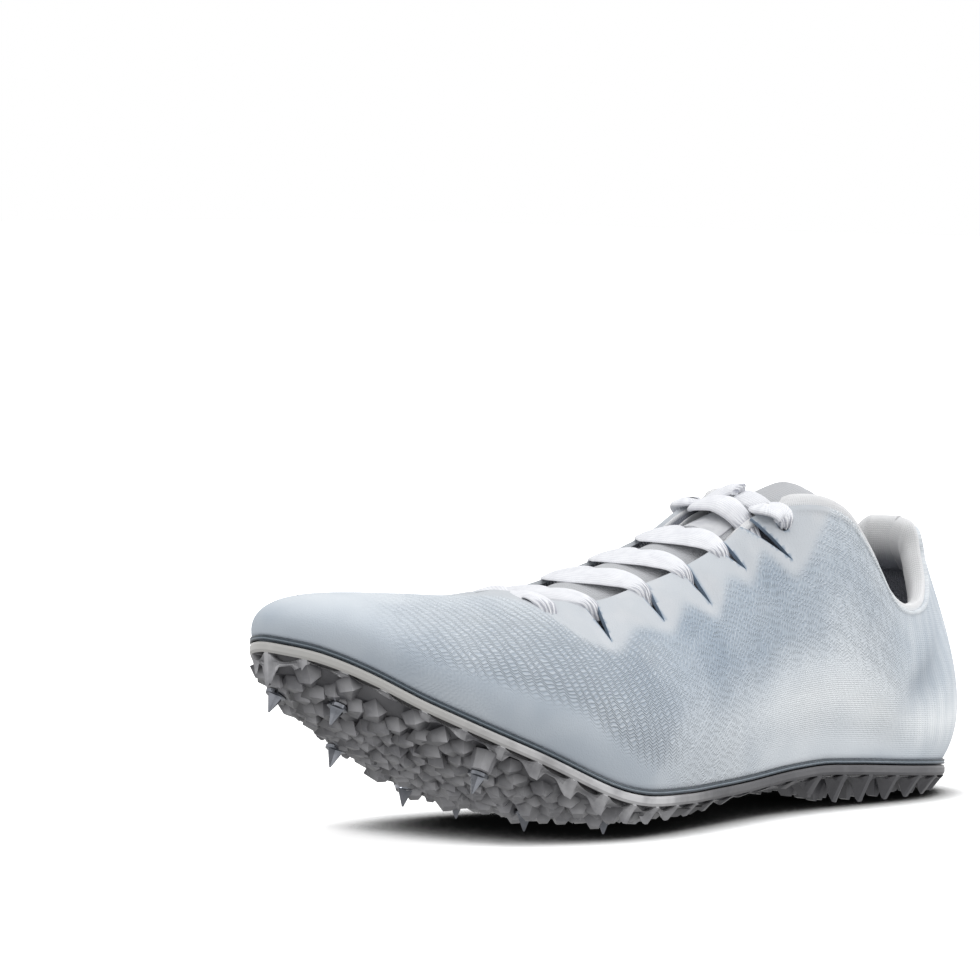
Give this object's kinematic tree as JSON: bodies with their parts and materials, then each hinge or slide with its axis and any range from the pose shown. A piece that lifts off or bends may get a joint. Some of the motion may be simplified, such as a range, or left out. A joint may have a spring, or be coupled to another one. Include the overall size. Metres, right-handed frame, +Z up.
{
  "type": "track spike shoe",
  "caption": "Low sprint shoe for the left foot: thin mesh upper with slit lacing, padded collar, stiff studded plate with toe spring and metal pyramid spikes.",
  "frame": {"origin": "on the floor under the middle of the shoe's bounding box", "axes": "+X to the toe, +Y to the lateral side, +Z up"},
  "size_m": [0.2856, 0.0944, 0.0988],
  "materials": {
    "upper": "pale ice-blue engineered mesh, half matt",
    "outsole": "moulded grey plate, satin",
    "rand": "dark blue-grey strip",
    "lining": "padded knit, matt",
    "tongue": "grey knit, matt",
    "label": "smooth film, bare",
    "insole": "dark fabric-topped foam",
    "lace": "flat woven lace",
    "spike": "polished"
  },
  "bodies": {
    "root": {"upper": "upper", "outsole": "outsole", "rand": "rand", "insole": "insole", "collar_lining": "lining", "tongue": "tongue", "tongue_label": "label", "lace_bar_1": "lace", "lace_bar_2": "lace", "lace_bar_3": "lace", "lace_bar_4": "lace", "lace_bar_5": "lace", "lace_bar_6": "lace", "spike_1": "spike", "spike_2": "spike", "spike_3": "spike", "spike_4": "spike", "spike_5": "spike", "spike_6": "spike", "spike_7": "spike", "spike_8": "spike"}
  },
  "joints": []
}
